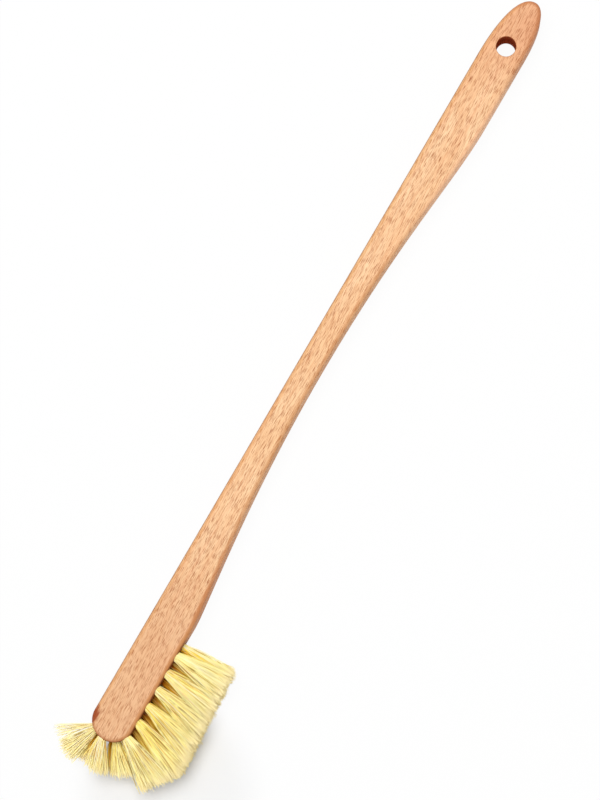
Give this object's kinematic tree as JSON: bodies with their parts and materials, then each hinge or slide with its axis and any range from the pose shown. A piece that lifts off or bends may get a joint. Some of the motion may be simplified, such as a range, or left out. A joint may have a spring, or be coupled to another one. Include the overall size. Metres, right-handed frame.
{
  "type": "bottle brush",
  "caption": "Flat beech bottle brush with a narrow neck, a hanging hole in the grip, and staggered tufts of plant fibre along one edge and round the end of the head.",
  "frame": {"origin": "on the flat rear face of the plate, under the centre of the head's round end", "axes": "+X along the straight spine from the head to the hanging hole, -Y the way the bristles point, +Z from the rear face to the front face"},
  "size_m": [0.3773, 0.0545, 0.0155],
  "materials": {
    "beech": "sanded and oiled beech, satin",
    "plant_fibre": "stiff pale yellow plant fibre, matt",
    "anchor_wire": "bright flat wire"
  },
  "bodies": {
    "root": {"handle": "beech", "tuft_front_1": "plant_fibre", "tuft_front_2": "plant_fibre", "tuft_front_3": "plant_fibre", "tuft_front_4": "plant_fibre", "tuft_front_5": "plant_fibre", "tuft_front_6": "plant_fibre", "tuft_front_7": "plant_fibre", "tuft_middle_1": "plant_fibre", "tuft_middle_2": "plant_fibre", "tuft_middle_3": "plant_fibre", "tuft_middle_4": "plant_fibre", "tuft_middle_5": "plant_fibre", "tuft_middle_6": "plant_fibre", "tuft_middle_7": "plant_fibre", "tuft_middle_8": "plant_fibre", "tuft_rear_1": "plant_fibre", "tuft_rear_2": "plant_fibre", "tuft_rear_3": "plant_fibre", "tuft_rear_4": "plant_fibre", "tuft_rear_5": "plant_fibre", "tuft_rear_6": "plant_fibre", "tuft_rear_7": "plant_fibre", "tuft_rear_8": "plant_fibre", "anchor_front_1": "anchor_wire", "anchor_front_2": "anchor_wire", "anchor_front_3": "anchor_wire", "anchor_front_4": "anchor_wire", "anchor_front_5": "anchor_wire", "anchor_front_6": "anchor_wire", "anchor_front_7": "anchor_wire", "anchor_middle_1": "anchor_wire", "anchor_middle_2": "anchor_wire", "anchor_middle_3": "anchor_wire", "anchor_middle_4": "anchor_wire", "anchor_middle_5": "anchor_wire", "anchor_middle_6": "anchor_wire", "anchor_middle_7": "anchor_wire", "anchor_middle_8": "anchor_wire", "anchor_rear_1": "anchor_wire", "anchor_rear_2": "anchor_wire", "anchor_rear_3": "anchor_wire", "anchor_rear_4": "anchor_wire", "anchor_rear_5": "anchor_wire", "anchor_rear_6": "anchor_wire", "anchor_rear_7": "anchor_wire", "anchor_rear_8": "anchor_wire"}
  },
  "joints": []
}
